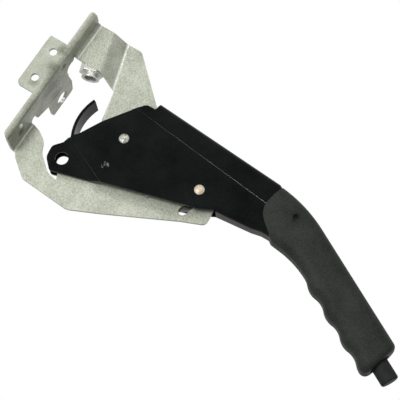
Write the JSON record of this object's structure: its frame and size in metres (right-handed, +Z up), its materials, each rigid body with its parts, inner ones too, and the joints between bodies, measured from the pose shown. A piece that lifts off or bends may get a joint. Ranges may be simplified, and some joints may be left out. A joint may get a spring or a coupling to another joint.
{
  "type": "parking brake lever assembly",
  "caption": "Hand parking brake lever on a formed steel bracket, with ratchet and pawl, cable quadrant, finger-grooved grip and push-button release",
  "frame": {"origin": "midway between the two base bolt holes, on the mounting face of the base plate", "axes": "+X away from the mounting face towards the grip, +Y away from the side that carries the two-hole flange, +Z up along the base plate"},
  "size_m": [0.3779, 0.0575, 0.1463],
  "materials": {
    "zinc_plate": "zinc plated, dull",
    "zinc_nut": "zinc plated",
    "black_paint": "gloss",
    "hardened_steel": "oiled",
    "bush_brass": "plain",
    "spring_wire": "drawn wire",
    "guide_plastic": "moulded",
    "core_tube": "satin",
    "grip_rubber": "matt, smooth",
    "button_plastic": "satin"
  },
  "bodies": {
    "bracket": {"base_bracket": "zinc_plate", "ratchet_sector": "hardened_steel", "sector_rivet_1": "hardened_steel", "sector_rivet_2": "hardened_steel", "pivot_bush": "bush_brass", "conduit_nut": "zinc_nut"},
    "lever": {"lever_arm": "black_paint", "cable_quadrant": "black_paint", "ear_rivet_near": "black_paint", "ear_rivet_far": "black_paint", "pivot_pin": "zinc_plate", "pawl_pin": "zinc_plate", "pawl_spacer": "hardened_steel", "handle_core": "core_tube", "rod_guide": "guide_plastic", "button_guide": "guide_plastic", "grip": "grip_rubber", "button_spring": "spring_wire", "pawl_spring": "spring_wire"},
    "pawl": {"pawl": "hardened_steel"},
    "button": {"push_button": "button_plastic", "release_rod": "spring_wire"}
  },
  "joints": [
    {"name": "lever_pivot", "type": "hinge", "parent": "bracket", "child": "lever", "pos_m": [0.0768, 0.018, 0.0054], "axis": [0, 1, 0], "range_deg": [-3, 15]},
    {"name": "button_slide", "type": "slide", "parent": "lever", "child": "button", "axis": [-0.8829, 0, 0.4695], "range_m": [0, 0.005], "stiffness_N_per_m": 1500, "springref_m": -0.004, "deforming": ["button_spring", "pawl_spring"]},
    {"name": "pawl_pivot", "type": "hinge", "parent": "lever", "child": "pawl", "pos_m": [0.15183, 0.018, 0.00029], "axis": [0, 1, 0], "range_deg": [-12.1, 0.1]}
  ],
  "couplings": [
    {"joint": "pawl_pivot", "follows": "button_slide", "rad_per_m": -41.667}
  ]
}
